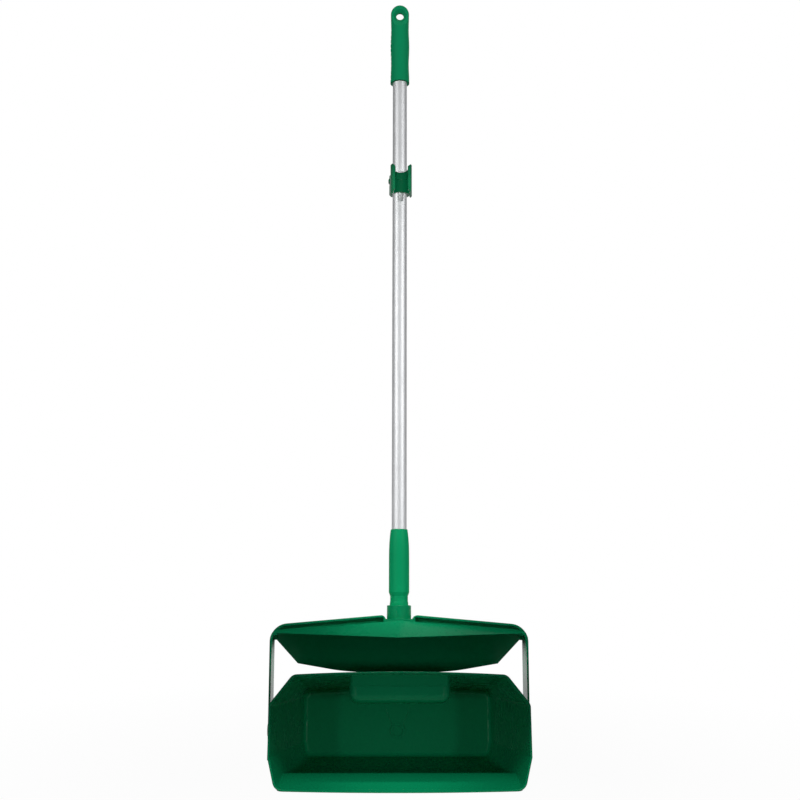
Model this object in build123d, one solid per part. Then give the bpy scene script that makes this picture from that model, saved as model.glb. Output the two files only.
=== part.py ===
"""Upright closable dust pan: a hinged scoop under a hood that carries a long tube handle.

Frame: X to the right, the scoop's mouth faces -Y, Z up. The origin lies on the floor,
under the axis of the two side pivots. Millimetres and degrees.
"""
import os
from math import cos, radians, sin, tan

from build123d import *

# Stance: the pivot axis, and how far the handle leans back from upright
pivot_height = 60.0
handle_lean = 6.0

# Scoop: mouth, seen square to its own plane
wall = 3.0
mouth_lean = 12.0
mouth_setback = 108.0
mouth_clearance = 2.9
lip_flare = 10.5
flare_height = 43.0
side_height = 112.0
rim_height = 151.6
rim_width = 292.0
rim_crown = 4.0
rim_round = 1.2

# Scoop: depth and back panel
scoop_depth = 200.0
back_width = 286.0
back_height = 101.0
back_flare_height = 24.0
back_corner = 10.0
floor_round = 14.0
corner_round = 12.0
back_round = 10.0

# Sweeping lip: a thin edge and a ramp over a hollow ridge
lip_bulge = 8.0
lip_edge = 1.0
ramp_run = 54.0
ramp_rise = 12.5
ramp_fall_run = 30.0
ramp_round = 14.0
lip_corner = 10.0

# Finger pocket sunk into the scoop's roof, and the moulding gate on the back panel
pocket_width = 138.0
pocket_start = 7.0
pocket_run = 46.0
pocket_drop = 41.0
pocket_round = 13.0
pocket_front_round = 11.0
pocket_step = 2.0
pocket_step_drop = 19.0
gate_height = 39.0
gate_radius = 11.0
gate_depth = 1.8
gate_ring = 3.0
gusset_width = 46.0
gusset_foot = 16.0
gusset_height = 36.0
gusset_thickness = 1.0

# Pivots
arm_inner_width = 360.6
arm_thickness = 3.0
arm_depth = 52.0
boss_radius = 17.0
pin_radius = 5.0
pin_grip = 18.0
pin_head_radius = 10.0
pin_head_height = 1.8
pin_head_round = 1.4
washer_thickness = 1.0
washer_radius = 13.0
pivot_gap = 0.05
side_gap = 0.15
head_gap = 0.3
stop_gap = 0.3
stop_thickness = 8.0
stop_length = 22.0
stop_reach = 3.0
stop_foot = 8.5
closed_angle = 100.0

# Hood, in the handle's own frame: the crest's height and the depths are from the pivot axis
roof_crest = 152.2
roof_fall = 5.2
nose_reach = 60.0
nose_drop = 23.4
nose_end_reach = 28.0
nose_end_drop = 17.8
nose_end_inset = 11.3
back_wall_distance = 124.0
back_wall_slope = 35.0
skirt_corner_inset = 33.3
skirt_corner_drop = 62.7
skirt_mid_inset = 94.3
skirt_mid_drop = 73.5
skirt_low_drop = 80.2
skirt_side_drop = 24.2
skirt_bend_radius = 250.0
foot_round = 1.0
band_rise = 9.8
band_fall = 5.0
band_wall = 3.0
band_round = 1.5
band_recess = 9.0
shoulder_radius = 26.0
collar_radius = 17.5
collar_rise = 21.8
collar_seat_rise = 2.2
collar_chamfer = 0.8
collar_bay_half = 19.0
collar_bay_round = 7.0
socket_floor = 5.0

# Handle: ferrule, tube and grip
tube_radius = 11.0
tube_wall = 1.2
tube_length = 851.0
fit_gap = 0.05
spigot_radius = 10.0
spigot_length = 30.0
ferrule_flange_radius = 13.4
ferrule_radius = 14.8
ferrule_neck_radius = 12.8
ferrule_top_radius = 12.2
ferrule_length = 109.0
ferrule_floor = 37.0
ferrule_shoulder_rise = 18.5
ferrule_taper_rise = 56.0
ferrule_taper_slope = 6.0
ferrule_flange_height = 3.0
ferrule_neck_run = 3.0
ferrule_shoulder_run = 5.5
grip_length = 131.5
grip_overlap = 81.0
grip_end_radius = 14.8
grip_waist_radius = 13.95
grip_bulge_radius = 14.8
grip_bulge_rise = 61.0
grip_low_waist_rise = 35.0
grip_high_waist_rise = 88.0
grip_dome_radius = 14.4
hang_hole_radius = 6.0
hang_hole_drop = 18.2
hang_hole_land = 4.0
grip_flat_thickness = 12.0
grip_scallop_radius = 45.0
ridge_count = 12
ridge_pitch = 7.5
ridge_radius = 3.0
ridge_depth = 0.7
rivet_radius = 2.0
rivet_head_radius = 3.6
rivet_head_height = 1.0
rivet_head_round = 0.8
rivet_tail = 1.5
ferrule_rivet_rise = 54.0

# Brush clip on the tube: a beaded ring, and a jaw in front of it
clip_rise = 598.5
clip_height = 48.0
clip_ring_rise = 17.4
clip_ring_drop = 11.6
clip_gap = 0.3
clip_ring_wall = 4.8
jaw_radius = 12.5
jaw_wall = 3.8
jaw_back_wall = 4.2
jaw_bead_radius = 2.6
jaw_opening = 56.0
clip_top_dip = 6.0
clip_bottom_dip = 11.3
clip_waist_rise = 4.5
clip_waist_height = 4.5
clip_waist_depth = 1.6
clip_bead_height = 5.5
clip_bead_reach = 1.5
clip_bead_round = 1.2
clip_turn = 3.4

# Widths worked out from the arms
arm_inner = arm_inner_width / 2
arm_outer = arm_inner + arm_thickness
mouth_width = arm_inner_width - 2 * mouth_clearance
lip_width = mouth_width - 2 * lip_flare
nose_end_half = arm_outer - nose_end_inset
skirt_corner_half = arm_outer - skirt_corner_inset
skirt_mid_half = arm_outer - skirt_mid_inset

# Heights worked out along the handle, from the roof's crest up
nose_height = roof_crest - nose_drop
nose_end_height = roof_crest - nose_end_drop
skirt_corner_height = roof_crest - skirt_corner_drop
skirt_mid_height = roof_crest - skirt_mid_drop
skirt_low_height = roof_crest - skirt_low_drop
skirt_side_height = roof_crest - skirt_side_drop
band_crest = roof_crest + band_rise
collar_seat = roof_crest + collar_seat_rise
collar_top = roof_crest + collar_rise
socket_end = collar_top - spigot_length - wall
ferrule_top = collar_top + ferrule_length
ferrule_shoulder = collar_top + ferrule_shoulder_rise
ferrule_taper_start = collar_top + ferrule_taper_rise
ferrule_rivet_height = collar_top + ferrule_rivet_rise
tube_bottom = collar_top + ferrule_floor
tube_top = tube_bottom + tube_length
clip_middle = tube_bottom + clip_rise
clip_waist_bottom = clip_middle + clip_waist_rise - clip_waist_height / 2
clip_waist_top = clip_waist_bottom + clip_waist_height
grip_bottom = tube_top - grip_overlap
grip_top = grip_bottom + grip_length
grip_bulge_height = grip_bottom + grip_bulge_rise
grip_low_waist = grip_bottom + grip_low_waist_rise
grip_high_waist = grip_bottom + grip_high_waist_rise

# Other sizes and places worked out from those above
boss_face = arm_inner - washer_thickness - 2 * side_gap
boss_root = lip_width / 2 - 2 * boss_radius
floor_rise = scoop_depth * tan(radians(mouth_lean))
back_top = floor_rise + back_height
mouth_plane = Plane(
    origin=(0, -mouth_setback, 0),
    x_dir=(1, 0, 0),
    z_dir=(0, -cos(radians(mouth_lean)), sin(radians(mouth_lean))),
)
handle_place = Pos(0, 0, pivot_height) * Rot(X=-handle_lean)


def mirrored_outline(right_points, crown):
    """Closed face from the right-hand points, lowest first, with a crowned top edge."""
    left_points = [(-x, y) for x, y in reversed(right_points)]
    top_right = right_points[-1]
    top_left = left_points[0]
    sides = Polyline(*left_points, *right_points)
    top = ThreePointArc(top_right, (0, top_right[1] + crown), top_left)
    return make_face(sides + top)


def mouth_outline():
    """The scoop's mouth: flared lower sides, upright sides and cut top corners."""
    return mirrored_outline(
        [
            (lip_width / 2, 0),
            (mouth_width / 2, flare_height),
            (mouth_width / 2, side_height),
            (rim_width / 2, rim_height),
        ],
        rim_crown,
    )


def back_outline():
    """The scoop's back panel, each edge parallel to its edge of the mouth."""
    flare = (mouth_width - lip_width) / 2 / flare_height
    cut = (mouth_width - rim_width) / 2 / (rim_height - side_height)
    half = back_width / 2
    rim_half = half - back_corner * cut
    return mirrored_outline(
        [
            (half - back_flare_height * flare, floor_rise),
            (half, floor_rise + back_flare_height),
            (half, back_top - back_corner),
            (rim_half, back_top),
        ],
        rim_crown * rim_half / (rim_width / 2),
    )


def depth_in_scoop(point):
    """How far a point lies behind the mouth plane."""
    return -mouth_plane.to_local_coords(point).Z


def running_edges(block, depth):
    """Edges that run from the mouth to the back panel, lowest first."""
    edges = []
    for edge in block.edges():
        if abs(depth_in_scoop(edge @ 0) - depth_in_scoop(edge @ 1)) > depth / 2:
            edges.append(edge)
    return sorted(edges, key=lambda edge: (edge @ 0).Z + (edge @ 1).Z)


def scoop_block(inset):
    """The scoop's outside (inset 0) or its hollow (inset of one wall), as a full block."""
    mouth = mouth_outline()
    back = back_outline()
    if inset:
        mouth = offset(mouth, amount=-inset, kind=Kind.INTERSECTION)
        back = offset(back, amount=-inset, kind=Kind.INTERSECTION)
    depth = scoop_depth - inset
    block = loft([mouth_plane * mouth, mouth_plane.offset(-depth) * back], ruled=True)
    block = fillet(running_edges(block, depth)[:2], floor_round - inset)
    block = fillet(running_edges(block, depth)[-4:], corner_round - inset)
    rear_face = max(block.faces(), key=lambda face: depth_in_scoop(face.center()))
    return fillet(rear_face.edges(), back_round - inset)


def scoop_shell():
    """The scoop's walls, with both edges of the mouth's rim rounded."""
    shell = scoop_block(0) - scoop_block(wall)
    rim = min(shell.faces(), key=lambda face: max(depth_in_scoop(v.center()) for v in face.vertices()))
    return fillet(rim.edges(), rim_round)


def side_prism(points, width, first_x=None):
    """Solid of a side-view outline (y, z), centred on X or starting at first_x."""
    start = -width / 2 if first_x is None else first_x
    return extrude(Plane.YZ.offset(start) * make_face(Polyline(*points, close=True)), width)


def front_prism(face, first_y, last_y):
    """Solid of a front-view outline (x, z), from first_y back to last_y."""
    plane = Plane(origin=(0, first_y, 0), x_dir=(1, 0, 0), z_dir=(0, -1, 0))
    return extrude(plane * face, -(last_y - first_y))


def lip_plan():
    """Plan of the sweeping lip: bowed forward, with round front corners."""
    half = lip_width / 2 - wall
    rear = -mouth_setback + ramp_run + ramp_fall_run
    corner = -mouth_setback + lip_corner
    front = ThreePointArc(
        (-half + lip_corner, -mouth_setback),
        (0, -mouth_setback - lip_bulge),
        (half - lip_corner, -mouth_setback),
    )
    right = RadiusArc((half - lip_corner, -mouth_setback), (half, corner), -lip_corner)
    left = RadiusArc((-half, corner), (-half + lip_corner, -mouth_setback), -lip_corner)
    rest = Polyline((half, corner), (half, rear), (-half, rear), (-half, corner))
    return make_face(front + right + rest + left)


def lip_ramp():
    """The ramp that dirt is swept over, hollow underneath."""
    front = -mouth_setback - lip_bulge
    crest = -mouth_setback + ramp_run
    foot = crest + ramp_fall_run
    profile = make_face(
        Polyline((front, 0), (front, lip_edge), (crest, ramp_rise), (foot, wall), (foot, 0), close=True)
    )
    crest_corner = profile.vertices().sort_by(Axis.Y)[-1]
    profile = fillet(crest_corner, ramp_round)
    ramp = extrude(Plane.YZ.offset(-lip_width / 2) * profile, lip_width)
    return ramp & extrude(lip_plan(), ramp_rise + wall)


def lip_hollow():
    """Space under the ramp's ridge, one wall below it."""
    crest = -mouth_setback + ramp_run
    fall_slope = (ramp_rise - wall) / ramp_fall_run
    rise_slope = (ramp_rise - lip_edge) / (ramp_run + lip_bulge)
    top = ramp_rise - wall - ramp_round * (rise_slope + fall_slope) ** 2 / 4
    front = crest - top / rise_slope
    rear = crest + top / fall_slope
    return side_prism([(front, 0), (crest, top), (rear, 0)], lip_width - 2 * (floor_round + wall))


def pocket_block(inset):
    """The finger pocket's outside (inset 0) or its recess, in the roof of the scoop."""
    width = pocket_width - 2 * inset
    bottom = rim_height + rim_crown - pocket_drop + inset
    top = rim_height + rim_crown + (pocket_drop if inset else -wall)
    run = pocket_run - 2 * inset
    ledge = rim_height + rim_crown - pocket_step_drop - inset - bottom
    block = Box(width, top - bottom, run, align=(Align.CENTER, Align.MIN, Align.MAX))
    lower = block.edges().filter_by(Axis.Z).group_by(Axis.Y)[0]
    block = fillet(lower, pocket_round - inset)
    below = block.faces().sort_by(Axis.Y)[0]
    block = fillet(below.edges().filter_by(Axis.X), pocket_front_round - inset)
    step = Box(width, top - bottom, pocket_step, align=(Align.CENTER, Align.MIN, Align.MAX))
    block = block - Pos(0, ledge, 0) * step
    return mouth_plane * Pos(0, bottom, -pocket_start - inset) * block


def back_panel_marks():
    """Shallow gusset and round gate mark on the inside of the back panel."""
    face_plane = mouth_plane.offset(-(scoop_depth - wall))
    upright = (gate_height + scoop_depth * sin(radians(mouth_lean))) / cos(radians(mouth_lean))
    ring = Circle(gate_radius) - Circle(gate_radius - gate_ring)
    low = upright + gate_radius - gate_ring
    gusset = make_face(
        Polyline(
            (-gusset_foot / 2, low),
            (gusset_foot / 2, low),
            (gusset_width / 2, low + gusset_height),
            (-gusset_width / 2, low + gusset_height),
            close=True,
        )
    )
    gusset = gusset - Pos(0, upright) * Circle(gate_radius - gate_ring / 2)
    ring_solid = extrude(face_plane * Pos(0, upright) * ring, gate_depth)
    return ring_solid + extrude(face_plane * gusset, gusset_thickness)


def both_sides(right):
    """A right-hand solid with its mirror image."""
    return right + mirror(right, about=Plane.YZ)


def stop_ear(turn, side):
    """Ear behind (side 1) or in front (side -1) of the arm, where the arm stands after this turn."""
    near = side * (arm_depth / 2 + stop_gap)
    far = side * (arm_depth / 2 + stop_gap + stop_thickness)
    high = stop_foot + stop_length
    ear = side_prism(
        [(near, stop_foot), (far, stop_foot), (far, high), (near, high)],
        arm_inner + stop_reach - boss_root,
        boss_root,
    )
    web = side_prism(
        [(0, 0), (far, stop_foot), (far, high), (0, boss_radius)],
        boss_face - boss_root,
        boss_root,
    )
    return Rot(X=turn) * (ear + web)


def pivot_boss():
    """Right-hand pivot boss with the ears that stop the arm when open and when closed."""
    boss = Pos(boss_root, 0, 0) * Rot(Y=90) * Cylinder(
        boss_radius, boss_face - boss_root, align=(Align.CENTER, Align.CENTER, Align.MIN)
    )
    return handle_place * (boss + stop_ear(0, 1) + stop_ear(closed_angle, -1))


def pivot_bore():
    """Blind hole for the pivot pin in the right-hand boss."""
    bore = Cylinder(pin_radius, 2 * pin_grip, align=(Align.CENTER, Align.CENTER, Align.CENTER))
    return Pos(boss_face, 0, pivot_height) * Rot(Y=90) * bore


def pan():
    """The scoop with its lip, pocket, pivot bosses and stop ears."""
    body = scoop_shell() + (both_sides(pivot_boss()) - scoop_block(wall))
    body = body + lip_ramp() - lip_hollow()
    body = body + pocket_block(0) - pocket_block(wall)
    body = body + back_panel_marks()
    return body - both_sides(pivot_bore())


def pivot_pin():
    """Right-hand pivot pin: a shank through the arm into the boss, under a low round head."""
    end = boss_face - pin_grip
    head_seat = arm_outer + head_gap
    shank = Cylinder(pin_radius, head_seat - end, align=(Align.CENTER, Align.CENTER, Align.MIN))
    head = Pos(0, 0, head_seat - end) * Cylinder(
        pin_head_radius, pin_head_height, align=(Align.CENTER, Align.CENTER, Align.MIN)
    )
    head = fillet(head.edges().group_by(Axis.Z)[-1], pin_head_round)
    return Pos(end, 0, pivot_height) * Rot(Y=90) * (shank + head)


def pivot_washer():
    """Right-hand washer between the boss and the arm."""
    ring = Circle(washer_radius) - Circle(pin_radius + pivot_gap)
    face = Plane.YZ.offset(boss_face + side_gap) * Pos(0, pivot_height) * ring
    return extrude(face, washer_thickness)


def roof_outline(inset):
    """Front view of the hood's roof: a shallow gable over the back wall's cut, bowed lower edge."""
    half = arm_outer - (arm_thickness if inset else 0)
    crest = roof_crest - inset
    eaves = crest - half * tan(radians(roof_fall))
    skirt = [
        (half, skirt_side_height),
        (skirt_corner_half, skirt_corner_height),
        (skirt_mid_half, skirt_mid_height),
        (0, skirt_low_height),
    ]
    open_skirt = [(half, -2 * arm_depth), (0, -2 * arm_depth)]
    right = [(0, crest), (half, eaves)] + (open_skirt if inset else skirt)
    left = [(-x, z) for x, z in reversed(right[1:-1])]
    face = make_face(Polyline(*right, *left, close=True))
    if inset:
        return face
    bend_limit = (skirt_corner_height + skirt_mid_height) / 2
    return fillet([vertex for vertex in face.vertices() if vertex.Y < bend_limit], skirt_bend_radius)


def roof_profile(inset):
    """Side view of the hood: straight under the nose, with a sloped back wall."""
    slope = radians(back_wall_slope)
    distance = back_wall_distance - inset
    high = 2 * roof_crest
    low = -2 * arm_depth if inset else skirt_low_height - 2 * wall
    rear_high = (distance - high * sin(slope)) / cos(slope)
    rear_low = (distance - low * sin(slope)) / cos(slope)
    front = -nose_reach - nose_end_reach
    front_low = low if inset else nose_height
    return [(front, front_low), (-nose_reach, front_low), (rear_low, low), (rear_high, high), (front, high)]


def facet_plane(side, inset):
    """Plane of one half of the folded nose, moved inwards by inset."""
    fold_low = Vector(0, -nose_reach, nose_height)
    fold_high = Vector(0, -arm_depth / 2, roof_crest)
    corner = Vector(side * nose_end_half, -nose_end_reach, nose_end_height)
    normal = (corner - fold_low).cross(fold_high - fold_low) * side
    plane = Plane(origin=fold_low, z_dir=normal)
    return plane.offset(-inset)


def roof_block(inset):
    """The roof and back wall as a full block (inset 0), or the space under them."""
    depth = back_wall_distance * 2
    block = front_prism(roof_outline(inset), -depth, depth)
    block = block & front_prism(band_outline(arm_thickness if inset else 0), -depth, depth)
    block = block & side_prism(roof_profile(inset), 2 * arm_outer)
    for side in (-1, 1):
        block = split(block, bisect_by=facet_plane(side, inset), keep=Keep.BOTTOM)
    return block


def nose_trim():
    """What is cut away in front of the band: all but the folded nose with its rising lower edge."""
    high = 2 * roof_crest
    keep = make_face(
        Polyline(
            (0, nose_height),
            (nose_end_half, nose_end_height),
            (nose_end_half, high),
            (-nose_end_half, high),
            (-nose_end_half, nose_end_height),
            close=True,
        )
    )
    everything = Rectangle(4 * arm_outer, 2 * high)
    return front_prism(everything - keep, -2 * nose_reach, -arm_depth / 2)


def band_outline(inset):
    """Front view of the band that runs up one arm, over the roof and down the other."""
    half = arm_outer - inset
    crest = band_crest - inset
    fall = tan(radians(band_fall))
    low = -arm_depth / 2
    eaves = crest - half * fall
    points = [(0, crest), (half, eaves), (half, low), (-half, low), (-half, eaves)]
    face = make_face(Polyline(*points, close=True))
    shoulders = [v for v in face.vertices() if abs(v.X) > half / 2 and v.Y > 0]
    return fillet(shoulders, shoulder_radius - inset)


def band_block():
    """The band as a full block, its ends round about the pivot axis."""
    half = arm_depth / 2
    block = front_prism(band_outline(0), -half, half)
    upper = [edge for edge in block.edges() if edge.center().Z > roof_crest / 2]
    rims = [edge for edge in upper if abs(abs(edge.center().Y) - half) < wall]
    block = fillet(rims, band_round)
    upright = Pos(0, 0, band_crest / 2) * Box(2 * arm_outer, arm_depth, band_crest)
    round_end = Rot(Y=90) * Cylinder(half, 2 * arm_outer)
    return block & (upright + round_end)


def band_hollow():
    """Spaces in the band above the roof, in front of its web and behind it, clear of the bay."""
    half = arm_depth / 2
    web = band_recess - half
    recess = front_prism(band_outline(arm_thickness), -2 * half, web) - roof_block(0)
    hollow = front_prism(band_outline(arm_thickness), web + band_wall, half - band_wall)
    bay_walls = Box(2 * collar_bay_half + collar_bay_round, 4 * arm_depth, 4 * band_crest)
    return recess + hollow - bay_walls


def collar_bay():
    """Gap in the band around the collar, between the band's rounded ends."""
    foot = collar_bay_half
    brow = foot + collar_bay_round
    turn = band_crest - brow * tan(radians(band_fall)) - collar_bay_round
    slant = collar_bay_round * cos(radians(45))
    end = turn + collar_bay_round
    high = 2 * band_crest
    right = ThreePointArc((foot, turn), (brow - slant, turn + slant), (brow, end))
    left = ThreePointArc((-foot, turn), (slant - brow, turn + slant), (-brow, end))
    below = Polyline((-foot, turn), (-foot, collar_seat), (foot, collar_seat), (foot, turn))
    above = Polyline((brow, end), (brow, high), (-brow, high), (-brow, end))
    return front_prism(make_face(below + right + above + left), -arm_depth, arm_depth)


def upright_cylinder(radius, low, high):
    """Cylinder on the handle's axis between two heights."""
    return Pos(0, 0, low) * Cylinder(radius, high - low, align=(Align.CENTER, Align.CENTER, Align.MIN))


def collar():
    """Collar that takes the handle's end, standing in a bay of the band."""
    ring = upright_cylinder(collar_radius, socket_end - socket_floor, collar_top)
    return chamfer(ring.edges().group_by(Axis.Z)[-1], collar_chamfer)


def foot_edges(shell):
    """Edges along the foot of the hood's back wall, between its two lower corners."""
    rear = [edge for edge in shell.edges() if edge.center().Y > arm_depth and edge.length > 4 * wall]
    return [edge for edge in rear if abs(edge.center().X) < skirt_corner_half]


def hood():
    """Roof, back wall, band with its two arms, and the handle's collar, in the handle's frame."""
    shell = roof_block(0) + band_block() - roof_block(wall) - nose_trim() - band_hollow()
    shell = fillet(foot_edges(shell), foot_round)
    shell = shell - collar_bay() + collar()
    bore = upright_cylinder(spigot_radius + fit_gap, socket_end, 2 * collar_top)
    pivot_hole = Rot(Y=90) * Cylinder(pin_radius + pivot_gap, 4 * arm_outer)
    return shell - bore - pivot_hole


def ferrule():
    """Tapered handle end: a plain spigot in place of its screw thread, and a socket for the tube."""
    seat = collar_top
    flange = seat + ferrule_flange_height
    outline = Polyline(
        (0, seat - spigot_length),
        (spigot_radius, seat - spigot_length),
        (spigot_radius, seat),
        (ferrule_flange_radius, seat),
        (ferrule_flange_radius, flange),
        (ferrule_neck_radius, flange + ferrule_neck_run),
        (ferrule_neck_radius, ferrule_shoulder - ferrule_shoulder_run),
        (ferrule_radius, ferrule_shoulder),
        (ferrule_radius, ferrule_taper_start),
    )
    taper = Spline(
        (ferrule_radius, ferrule_taper_start),
        (ferrule_top_radius, ferrule_top),
        tangents=((0, 1), (-1, ferrule_taper_slope)),
    )
    inside = Polyline(
        (ferrule_top_radius, ferrule_top),
        (tube_radius + fit_gap, ferrule_top),
        (tube_radius + fit_gap, tube_bottom),
        (0, tube_bottom),
        (0, seat - spigot_length),
    )
    return revolve(Plane.XZ * make_face(outline + taper + inside), Axis.Z)


def tube():
    """Aluminium handle tube."""
    inner = upright_cylinder(tube_radius - tube_wall, tube_bottom - wall, tube_top + wall)
    return upright_cylinder(tube_radius, tube_bottom, tube_top) - inner


def grip():
    """Moulded hand grip with two waists, a round top and a hang hole."""
    dome = grip_top - grip_dome_radius
    side = Spline(
        (grip_end_radius, grip_bottom),
        (grip_waist_radius, grip_low_waist),
        (grip_bulge_radius, grip_bulge_height),
        (grip_waist_radius, grip_high_waist),
        (grip_dome_radius, dome),
        tangents=((0, 1), (0, 1)),
    )
    top = CenterArc((0, dome), grip_dome_radius, 0, 90)
    inside = Polyline(
        (0, grip_top),
        (0, tube_top),
        (tube_radius + fit_gap, tube_top),
        (tube_radius + fit_gap, grip_bottom),
        (grip_end_radius, grip_bottom),
    )
    body = revolve(Plane.XZ * make_face(side + top + inside), Axis.Z)
    scallop = Pos(0, grip_flat_thickness / 2 + grip_scallop_radius, dome) * Rot(Y=90) * Cylinder(
        grip_scallop_radius, 4 * grip_end_radius
    )
    body = body - scallop - mirror(scallop, about=Plane.XZ) - hang_hole()
    return body - grip_ridges()


def hang_hole():
    """Hole across the grip's eye: a short bore that opens out to both faces."""
    land = hang_hole_land / 2
    reach = 2 * grip_end_radius
    mouth = hang_hole_radius + reach - land
    points = [(0, 0), (hang_hole_radius, 0), (hang_hole_radius, land), (mouth, reach), (0, reach)]
    half = revolve(Plane.XZ * make_face(Polyline(*points, close=True)), Axis.Z)
    front = Rot(X=90) * half
    return Pos(0, 0, grip_top - hang_hole_drop) * (front + mirror(front, about=Plane.XZ))


def grip_ridges():
    """Row of shallow finger grooves down the left-hand side of the grip."""
    reach = grip_waist_radius - ridge_depth + ridge_radius
    groove = Rot(X=90) * Cylinder(ridge_radius, grip_waist_radius)
    first = grip_bottom + ridge_pitch
    heights = [first + index * ridge_pitch for index in range(ridge_count)]
    return [Pos(-reach, 0, height) * groove for height in heights]


def rivet_hole(height):
    """Hole for a rivet, from behind through a sleeve and the tube's near wall."""
    hole = Cylinder(rivet_radius + fit_gap, 2 * tube_radius, align=(Align.CENTER, Align.CENTER, Align.MIN))
    return Pos(0, 0, height) * Rot(X=-90) * hole


def rivet(height, outer_radius):
    """Blind rivet from behind, through a sleeve and the tube's wall."""
    inner = tube_radius - tube_wall - rivet_tail
    shank = Cylinder(rivet_radius, outer_radius - inner, align=(Align.CENTER, Align.CENTER, Align.MIN))
    head = Pos(0, 0, outer_radius - inner) * Cylinder(
        rivet_head_radius, rivet_head_height, align=(Align.CENTER, Align.CENTER, Align.MIN)
    )
    head = fillet(head.edges().group_by(Axis.Z)[-1], rivet_head_round)
    return Pos(0, inner, height) * Rot(X=-90) * (shank + head)


def saddle_cut(dip, end_height):
    """Rounded notch across the clip: dip deep at the middle, nothing at the jaw's sides."""
    half = jaw_radius + jaw_wall / 2
    radius = (half**2 + dip**2) / (2 * dip)
    direction = 1 if end_height > clip_middle else -1
    centre = end_height + direction * (radius - dip)
    return Pos(0, 0, centre) * Rot(X=90) * Cylinder(radius, 8 * jaw_radius)


def clip_ring():
    """The clip's ring round the tube: plain below, a waist, a bead and a plain rim above."""
    radius = tube_radius + clip_gap + clip_ring_wall
    foot = clip_middle - clip_ring_drop
    bead = upright_cylinder(radius + clip_bead_reach, clip_waist_top, clip_waist_top + clip_bead_height)
    bead = fillet(bead.edges().filter_by(GeomType.CIRCLE), clip_bead_round)
    below = upright_cylinder(radius, foot, clip_waist_bottom)
    waist = upright_cylinder(radius - clip_waist_depth, foot, clip_waist_top)
    above = upright_cylinder(radius, clip_waist_top, clip_middle + clip_ring_rise)
    return below + waist + bead + above


def clip():
    """Snap clip: a ring on the tube and an open jaw in front of it for a brush stick."""
    jaw_outer = jaw_radius + jaw_wall
    jaw_centre = -(tube_radius + clip_gap + jaw_back_wall + jaw_radius)
    top = clip_middle + clip_height / 2
    bottom = clip_middle - clip_height / 2
    tip_radius = jaw_radius + jaw_wall / 2
    opening = radians(jaw_opening)
    tip = (tip_radius * sin(opening), jaw_centre - tip_radius * cos(opening))
    far = 4 * jaw_outer
    wedge = make_face(
        Polyline(
            (0, jaw_centre),
            (far * sin(opening), jaw_centre - far * cos(opening)),
            (0, jaw_centre - 2 * far),
            (-far * sin(opening), jaw_centre - far * cos(opening)),
            close=True,
        )
    )
    beads = [Pos(side * tip[0], tip[1]) * Circle(jaw_bead_radius) for side in (-1, 1)]
    outline = Pos(0, jaw_centre) * Circle(jaw_outer) - wedge + beads
    jaw = extrude(Pos(0, 0, bottom) * outline, clip_height)
    jaw = jaw - saddle_cut(clip_top_dip, top) - saddle_cut(clip_bottom_dip, bottom)
    groove = upright_cylinder(jaw_radius + clip_waist_depth, clip_waist_bottom, clip_waist_top)
    body = jaw + clip_ring()
    body = body - Pos(0, jaw_centre, 0) * (upright_cylinder(jaw_radius, 0, 2 * clip_middle) + groove)
    body = body - upright_cylinder(tube_radius + clip_gap, 0, 2 * clip_middle)
    return Rot(Z=clip_turn) * body


ferrule_hole = rivet_hole(ferrule_rivet_height)
grip_hole = rivet_hole(grip_bulge_height)

parts = {}
parts["pan"] = pan()
parts["pivot_pin_right"] = pivot_pin()
parts["pivot_pin_left"] = mirror(pivot_pin(), about=Plane.YZ)
parts["pivot_washer_right"] = pivot_washer()
parts["pivot_washer_left"] = mirror(pivot_washer(), about=Plane.YZ)
parts["hood"] = handle_place * hood()
parts["ferrule"] = handle_place * (ferrule() - ferrule_hole)
parts["ferrule_rivet"] = handle_place * rivet(ferrule_rivet_height, ferrule_radius)
parts["handle_tube"] = handle_place * (tube() - ferrule_hole - grip_hole)
parts["grip"] = handle_place * (grip() - grip_hole)
parts["grip_rivet"] = handle_place * rivet(grip_bulge_height, grip_bulge_radius)
parts["brush_clip"] = handle_place * clip()

os.makedirs("parts", exist_ok=True)
for name, shape in parts.items():
    export_step(shape, f"parts/{name}.step")
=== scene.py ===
"""Upright dust pan: finishes, studio light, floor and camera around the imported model. Metres."""
from math import radians

import bpy
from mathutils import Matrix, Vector

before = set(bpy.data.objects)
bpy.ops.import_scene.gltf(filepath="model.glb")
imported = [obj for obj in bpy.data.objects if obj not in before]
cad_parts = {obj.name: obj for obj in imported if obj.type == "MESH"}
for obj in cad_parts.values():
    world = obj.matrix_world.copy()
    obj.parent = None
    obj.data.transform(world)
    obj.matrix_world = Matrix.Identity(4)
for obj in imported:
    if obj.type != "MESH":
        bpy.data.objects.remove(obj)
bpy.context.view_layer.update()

# Camera: fitted to the picture's frame of 800 by 800
camera_place = (-0.032, -1.733, 0.385)
camera_pitch = 4.75
camera_turn = 1.076
camera_roll = -0.199
camera_lens = 54.0
camera_sensor = 36.0

# Colours, linear
scoop_green = (0.002, 0.300, 0.118)
handle_green = (0.003, 0.390, 0.150)
# Grip: the handle green darkened, painted shade for less light at the grip's height
grip_green_painted_shade = (0.003, 0.255, 0.104)
# Clip: the plastic green darkened well below the scoop's, painted shade that keeps the clip dark under
# its lamps
clip_green_painted_shade = (0.002, 0.130, 0.050)
pin_green = (0.002, 0.240, 0.090)
washer_white = (0.80, 0.80, 0.77)
tube_silver = (0.64, 0.65, 0.66)
rivet_silver = (0.62, 0.62, 0.62)
white = (1.0, 1.0, 1.0)

# Mouldings: roughness, mirror strength, and the scale and depth of the skin
scoop_rough = 0.27
handle_rough = 0.48
grip_rough = 0.52
clip_rough = 0.30
pin_rough = 0.38
washer_rough = 0.42
scoop_specular = 0.10
handle_specular = 0.05
scoop_skin = (500.0, 0.000006)
handle_skin = (700.0, 0.00003)
grip_skin = (700.0, 0.00004)
small_skin = (700.0, 0.00002)
skin_strength = 0.2
plastic_ior = 1.49
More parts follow.
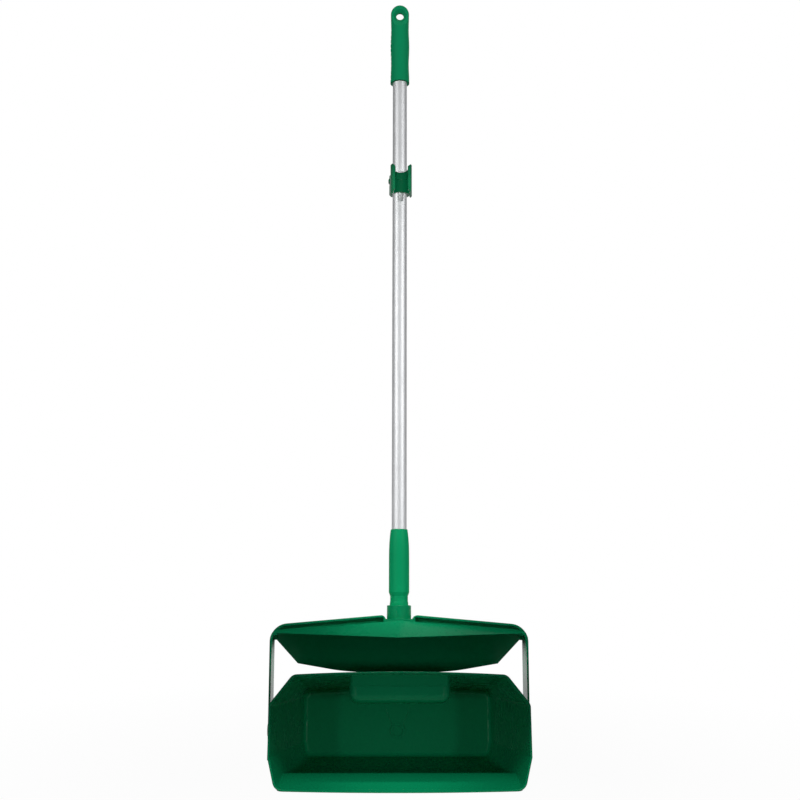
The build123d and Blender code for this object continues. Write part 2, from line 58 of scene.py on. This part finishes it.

# Mouldings: drift of colour, uneven gloss, and lighter edges that are partly rubbed wear and partly a
# painted highlight
drift_scale = 14.0
drift_shades = (0.975, 1.02)
gloss_scale = 45.0
gloss_drift = (-0.01, 0.025)
edge_radius = 0.0009
edge_samples = 6
edge_turn = (0.995, 0.86)
# How much lighter the edges are painted: partly rubbed wear, partly a painted highlight along rims
edge_wear_and_highlight_shade = 1.5
rub_and_highlight_scale = 60.0
rub_and_highlight_share = (0.1, 0.5)

# Tube: drawn lines that follow the handle's lean, and a faint cloud
handle_lean = 6.0
line_scale = (420.0, 420.0, 3.0)
line_shade = 0.85
line_share = 0.12
line_strength = 0.03
line_depth = 0.00002
cloud_scale = 30.0
cloud_shades = (0.97, 1.02)
tube_rough = (0.55, 0.61)

# Rivets: fine grain
grain_scale = 2500.0
grain_shades = (0.85, 1.1)
grain_strength = 0.2
grain_depth = 0.00005
rivet_rough = (0.24, 0.38)

# The part of a noise's range that is spread over a finish's whole range
noise_span = (0.3, 0.7)
gloss_span = (0.3, 0.72)
rub_and_highlight_span = (0.35, 0.75)
line_span = (0.35, 0.7)

# Stage
floor_half = 8.0
floor_cells = 8
floor_drop = 0.0006
floor_colour = (0.35, 0.35, 0.35)
shadow_near = 0.25
shadow_far = 0.9
floor_glow_near = 0.97
world_fill = 0.07

# What polished faces see around them, from in front of the object to behind it
mirror_stops = (
    (0.0, 0.10),
    (0.09, 0.10),
    (0.13, 0.70),
    (0.22, 0.70),
    (0.27, 0.10),
    (0.80, 0.12),
    (0.90, 0.25),
    (0.96, 1.3),
)
mirror_low = 0.45
mirror_high = 0.75
mirror_overhead = 0.25

# Points that the lamps aim at
ground = (0.0, 0.0, 0.0)
lip_edge = (0.0, -0.108, 0.004)
scoop_right_back = (0.09, 0.05, 0.0)
scoop_left_back = (-0.09, 0.05, 0.0)
hood_nose = (0.0, -0.04, 0.2)
hood_right = (0.09, -0.03, 0.2)
handle_middle = (0.0, 0.06, 0.74)
clip_middle = (0.002, 0.06, 0.864)


def new_material(name):
    """A node material, its tree and its shader."""
    material = bpy.data.materials.new(name)
    material.use_nodes = True
    tree = material.node_tree
    return material, tree, tree.nodes["Principled BSDF"]


def add_node(tree, kind, **settings):
    """A node of this kind; settings name its properties or, in lower case, its inputs."""
    node = tree.nodes.new(kind)
    for key, value in settings.items():
        socket = key.replace("_", " ").title()
        if hasattr(node, key):
            setattr(node, key, value)
        else:
            node.inputs[socket].default_value = value
    return node


def math_node(tree, operation, first, second):
    """Two values put together by an operation."""
    node = add_node(tree, "ShaderNodeMath", operation=operation)
    tree.links.new(first, node.inputs[0])
    tree.links.new(second, node.inputs[1])
    return node.outputs[0]


def object_place(tree):
    """A point's place in its own object."""
    return tree.nodes.new("ShaderNodeTexCoord").outputs["Object"]


def noise(tree, vector, scale, detail=2.0, roughness=0.5):
    """Grey noise on a vector, with its value as the output."""
    node = add_node(tree, "ShaderNodeTexNoise", scale=scale, detail=detail, roughness=roughness)
    tree.links.new(vector, node.inputs["Vector"])
    return node.outputs["Fac"]


def remap(tree, value, span, to_span):
    """A value carried from one span to another, clamped."""
    node = add_node(
        tree,
        "ShaderNodeMapRange",
        from_min=span[0],
        from_max=span[1],
        to_min=to_span[0],
        to_max=to_span[1],
    )
    tree.links.new(value, node.inputs["Value"])
    return node.outputs["Result"]


def stretched(tree, vector, scale, turn):
    """Coordinates turned, then scaled apart, for lines that run one way."""
    node = add_node(tree, "ShaderNodeMapping", vector_type="POINT")
    node.inputs["Rotation"].default_value = turn
    node.inputs["Scale"].default_value = scale
    tree.links.new(vector, node.inputs["Vector"])
    return node.outputs["Vector"]


def blend_colour(tree, factor, first, second):
    """Two colours mixed by a factor; each may be a constant or a socket."""
    node = add_node(tree, "ShaderNodeMix", data_type="RGBA")
    tree.links.new(factor, node.inputs["Factor"])
    for socket, colour in ((node.inputs[6], first), (node.inputs[7], second)):
        if isinstance(colour, tuple):
            socket.default_value = (*colour, 1.0)
        else:
            tree.links.new(colour, socket)
    return node.outputs[2]


def shade(colour, amount):
    """A colour made lighter or darker by a share."""
    return tuple(min(1.0, channel * amount) for channel in colour)


def two_shades(tree, factor, colour, shades):
    """A colour that drifts between two of its shades."""
    return blend_colour(tree, factor, shade(colour, shades[0]), shade(colour, shades[1]))


def bump(tree, height, strength, distance, normal=None):
    """Relief from a height, on top of another normal if one is given."""
    node = add_node(tree, "ShaderNodeBump", strength=strength, distance=distance)
    tree.links.new(height, node.inputs["Height"])
    if normal is not None:
        tree.links.new(normal, node.inputs["Normal"])
    return node.outputs["Normal"]


def edge_mask(tree):
    """One along sharp edges, nothing on flat faces, with the rounded normal."""
    bevel = add_node(tree, "ShaderNodeBevel", samples=edge_samples, radius=edge_radius)
    geometry = tree.nodes.new("ShaderNodeNewGeometry")
    dot = add_node(tree, "ShaderNodeVectorMath", operation="DOT_PRODUCT")
    tree.links.new(bevel.outputs["Normal"], dot.inputs[0])
    tree.links.new(geometry.outputs["Normal"], dot.inputs[1])
    return remap(tree, dot.outputs["Value"], edge_turn, (0.0, 1.0)), bevel.outputs["Normal"]


def moulded_plastic(name, colour, rough, specular, skin):
    """Moulded plastic: faint drift of colour, uneven gloss, a fine skin, and edges lightened partly as
    rubbed wear, partly as a painted highlight.
    """
    material, tree, shader = new_material(name)
    place = object_place(tree)
    drift = remap(tree, noise(tree, place, drift_scale, detail=3.0), noise_span, (0.0, 1.0))
    body = two_shades(tree, drift, colour, drift_shades)
    edges, rounded = edge_mask(tree)
    # Edges lightened in patches: partly rubbed wear, partly a painted highlight along the rims
    patchy_wear_and_highlight = remap(tree, noise(tree, place, rub_and_highlight_scale, detail=4.0), rub_and_highlight_span, rub_and_highlight_share)
    rubbed_and_highlit = math_node(tree, "MULTIPLY", edges, patchy_wear_and_highlight)
    body = blend_colour(tree, rubbed_and_highlit, body, shade(colour, edge_wear_and_highlight_shade))
    tree.links.new(body, shader.inputs["Base Color"])
    handled = noise(tree, place, gloss_scale, detail=5.0, roughness=0.6)
    rough_span = (rough + gloss_drift[0], rough + gloss_drift[1])
    tree.links.new(remap(tree, handled, gloss_span, rough_span), shader.inputs["Roughness"])
    skin_scale, skin_depth = skin
    relief = bump(tree, noise(tree, place, skin_scale), skin_strength, skin_depth, rounded)
    tree.links.new(relief, shader.inputs["Normal"])
    shader.inputs["IOR"].default_value = plastic_ior
    shader.inputs["Specular IOR Level"].default_value = specular
    return material


def drawn_aluminium(name, colour):
    """Drawn and anodised tube: faint lines along its length and a satin skin."""
    material, tree, shader = new_material(name)
    place = object_place(tree)
    along = stretched(tree, place, line_scale, (radians(handle_lean), 0.0, 0.0))
    lines = noise(tree, along, scale=1.0, detail=3.0, roughness=0.6)
    cloud = remap(tree, noise(tree, place, cloud_scale, detail=3.0), noise_span, (0.0, 1.0))
    body = two_shades(tree, cloud, colour, cloud_shades)
    lined = remap(tree, lines, line_span, (0.0, line_share))
    body = blend_colour(tree, lined, body, shade(colour, line_shade))
    tree.links.new(body, shader.inputs["Base Color"])
    tree.links.new(remap(tree, lines, noise_span, tube_rough), shader.inputs["Roughness"])
    tree.links.new(bump(tree, lines, line_strength, line_depth), shader.inputs["Normal"])
    shader.inputs["Metallic"].default_value = 1.0
    return material


def plain_metal(name, colour):
    """Small steel pressing with a fine all-over grain."""
    material, tree, shader = new_material(name)
    grain = noise(tree, object_place(tree), grain_scale)
    body = two_shades(tree, grain, colour, grain_shades)
    tree.links.new(body, shader.inputs["Base Color"])
    tree.links.new(remap(tree, grain, noise_span, rivet_rough), shader.inputs["Roughness"])
    tree.links.new(bump(tree, grain, grain_strength, grain_depth), shader.inputs["Normal"])
    shader.inputs["Metallic"].default_value = 1.0
    return material


def dress(node, material):
    """Give one CAD node its finish."""
    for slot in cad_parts[node].material_slots:
        slot.material = material


def dress_all():
    """Every CAD node's finish."""
    scoop = moulded_plastic("scoop_plastic", scoop_green, scoop_rough, scoop_specular, scoop_skin)
    handle = moulded_plastic("handle_plastic", handle_green, handle_rough, handle_specular, handle_skin)
    # The grip's colour carries painted shade: the handle green made darker
    grip = moulded_plastic("grip_plastic_painted_shade", grip_green_painted_shade, grip_rough, handle_specular, grip_skin)
    # The clip's colour carries painted shade: the plastic green made darker
    clip = moulded_plastic("clip_plastic_painted_shade", clip_green_painted_shade, clip_rough, scoop_specular, small_skin)
    pin = moulded_plastic("pin_plastic", pin_green, pin_rough, scoop_specular, small_skin)
    washer = moulded_plastic("washer_plastic", washer_white, washer_rough, scoop_specular, small_skin)
    tube = drawn_aluminium("tube_metal", tube_silver)
    rivet = plain_metal("rivet_metal", rivet_silver)
    finishes = {
        "pan": scoop,
        "hood": scoop,
        "ferrule": handle,
        "grip": grip,
        "brush_clip": clip,
        "pivot_pin_left": pin,
        "pivot_pin_right": pin,
        "pivot_washer_left": washer,
        "pivot_washer_right": washer,
        "handle_tube": tube,
        "ferrule_rivet": rivet,
        "grip_rivet": rivet,
    }
    for node, material in finishes.items():
        dress(node, material)


def ray_kinds(tree):
    """Flags for rays from the camera or through glass, and for rays from polished faces."""
    path = tree.nodes.new("ShaderNodeLightPath")
    camera = path.outputs["Is Camera Ray"]
    through = path.outputs["Is Transmission Ray"]
    return math_node(tree, "MAXIMUM", camera, through), path.outputs["Is Glossy Ray"]


def floor_paper():
    """Paper that glows white to the camera and to polished faces, and keeps the object's shadow."""
    material = bpy.data.materials.new("floor_paper")
    material.use_nodes = True
    tree = material.node_tree
    tree.nodes.remove(tree.nodes["Principled BSDF"])
    paper = tree.nodes.new("ShaderNodeBsdfDiffuse")
    paper.inputs["Color"].default_value = (*floor_colour, 1.0)
    glow = tree.nodes.new("ShaderNodeEmission")
    distance = add_node(tree, "ShaderNodeVectorMath", operation="LENGTH")
    tree.links.new(object_place(tree), distance.inputs[0])
    share = remap(tree, distance.outputs["Value"], (shadow_near, shadow_far), (floor_glow_near, 1.0))
    direct, mirrored = ray_kinds(tree)
    seen = math_node(tree, "MAXIMUM", direct, mirrored)
    mix = tree.nodes.new("ShaderNodeMixShader")
    tree.links.new(math_node(tree, "MULTIPLY", seen, share), mix.inputs["Fac"])
    tree.links.new(paper.outputs[0], mix.inputs[1])
    tree.links.new(glow.outputs[0], mix.inputs[2])
    tree.links.new(mix.outputs[0], tree.nodes["Material Output"].inputs["Surface"])
    return material


def white_floor():
    """Pale floor under the object."""
    bpy.ops.mesh.primitive_grid_add(
        x_subdivisions=floor_cells,
        y_subdivisions=floor_cells,
        size=2 * floor_half,
    )
    floor = bpy.context.object
    floor.name = "floor"
    floor.location.z = -floor_drop
    floor.data.materials.append(floor_paper())


def mirror_room(tree):
    """How bright the room looks in a polished face: grey in front, white straight behind, dim above."""
    direction = tree.nodes.new("ShaderNodeTexCoord").outputs["Generated"]
    split = tree.nodes.new("ShaderNodeSeparateXYZ")
    tree.links.new(direction, split.inputs[0])
    around = tree.nodes.new("ShaderNodeValToRGB")
    stops = around.color_ramp.elements
    stops.remove(stops[1])
    for position, level in mirror_stops:
        stop = stops[0] if position == 0.0 else stops.new(position)
        stop.color = (level, level, level, 1.0)
    tree.links.new(remap(tree, split.outputs["Y"], (-1.0, 1.0), (0.0, 1.0)), around.inputs["Fac"])
    above = remap(tree, split.outputs["Z"], (mirror_low, mirror_high), (1.0, mirror_overhead))
    return math_node(tree, "MULTIPLY", around.outputs["Color"], above)


def white_world():
    """White surroundings: full white to the camera, a dim room to soft light and to polished faces."""
    world = bpy.data.worlds.new("studio")
    bpy.context.scene.world = world
    world.use_nodes = True
    tree = world.node_tree
    background = tree.nodes["Background"]
    background.inputs["Color"].default_value = (*white, 1.0)
    direct, mirrored = ray_kinds(tree)
    soft = tree.nodes.new("ShaderNodeMix")
    soft.inputs["A"].default_value = world_fill
    tree.links.new(mirrored, soft.inputs["Factor"])
    tree.links.new(mirror_room(tree), soft.inputs["B"])
    strength = tree.nodes.new("ShaderNodeMix")
    strength.inputs["B"].default_value = 1.0
    tree.links.new(direct, strength.inputs["Factor"])
    tree.links.new(soft.outputs["Result"], strength.inputs["A"])
    tree.links.new(strength.outputs["Result"], background.inputs["Strength"])


def hang_lamp(lamp, place, target):
    """Put a lamp in the scene, aimed at a point."""
    holder = bpy.data.objects.new(lamp.name, lamp)
    bpy.context.collection.objects.link(holder)
    holder.location = place
    aim = Vector(target) - Vector(place)
    holder.rotation_euler = aim.to_track_quat("-Z", "Y").to_euler()
    return holder


def softbox(name, place, target, width, height, power):
    """Rectangular studio lamp aimed at a point."""
    lamp = bpy.data.lights.new(name, "AREA")
    lamp.shape = "RECTANGLE"
    lamp.size = width
    lamp.size_y = height
    lamp.energy = power
    hang_lamp(lamp, place, target)


def snooted_lamp(name, place, target, radius, cone, blend, power, stretch=1.0):
    """Soft round lamp whose beam keeps to a cone, in degrees; stretch makes it wider than high."""
    lamp = bpy.data.lights.new(name, "SPOT")
    lamp.shadow_soft_size = radius
    lamp.spot_size = radians(cone)
    lamp.spot_blend = blend
    lamp.energy = power
    hang_lamp(lamp, place, target).scale.x = stretch


def studio_light():
    """Weak softboxes above and behind, a wide low beam on the lip, snooted lamps on the other faces."""
    lip = {"radius": 0.02, "cone": 5.8, "blend": 1.0}
    scoop = {"radius": 0.14, "cone": 10.5, "blend": 1.0}
    hood = {"radius": 0.04, "cone": 8.0, "blend": 1.0}
    sides = {"radius": 0.04, "cone": 27.6, "blend": 0.10}
    front = {"radius": 0.04, "cone": 29.2, "blend": 0.10}
    clip = {"radius": 0.01, "cone": 1.8, "blend": 0.8}
    softbox("overhead", (0.0, 0.0, 2.0), ground, width=0.9, height=0.4, power=1.4)
    snooted_lamp("lip", (0.0, -0.985, 1.077), lip_edge, **lip, power=28.0, stretch=8.0)
    snooted_lamp("scoop_left", (-1.0, -2.2, 0.25), scoop_right_back, **scoop, power=33.0)
    snooted_lamp("scoop_right", (1.0, -2.2, 0.25), scoop_left_back, **scoop, power=34.0)
    snooted_lamp("hood", (0.0, 0.02, 1.9), hood_nose, **hood, power=40.0)
    snooted_lamp("handle_left", (-1.6, -1.35, 1.25), handle_middle, **sides, power=86.0)
    snooted_lamp("handle_right", (1.6, -1.35, 1.25), handle_middle, **sides, power=86.0)
    snooted_lamp("handle_front", (0.0, -1.9, 1.25), handle_middle, **front, power=15.0)
    snooted_lamp("clip", (0.0, -1.9, 0.45), clip_middle, **clip, power=95.0)
    softbox("rear_right", (0.40, 0.72, 1.6), hood_right, width=0.6, height=0.5, power=0.85)


def photo_camera():
    """Camera at the picture's own angle and distance."""
    data = bpy.data.cameras.new("camera")
    data.lens = camera_lens
    data.sensor_width = camera_sensor
    camera = bpy.data.objects.new("camera", data)
    bpy.context.collection.objects.link(camera)
    camera.location = camera_place
    camera.rotation_euler = (radians(90.0 + camera_pitch), radians(camera_roll), radians(-camera_turn))
    bpy.context.scene.camera = camera


dress_all()
white_floor()
white_world()
studio_light()
photo_camera()
bpy.context.scene.view_settings.view_transform = "Standard"
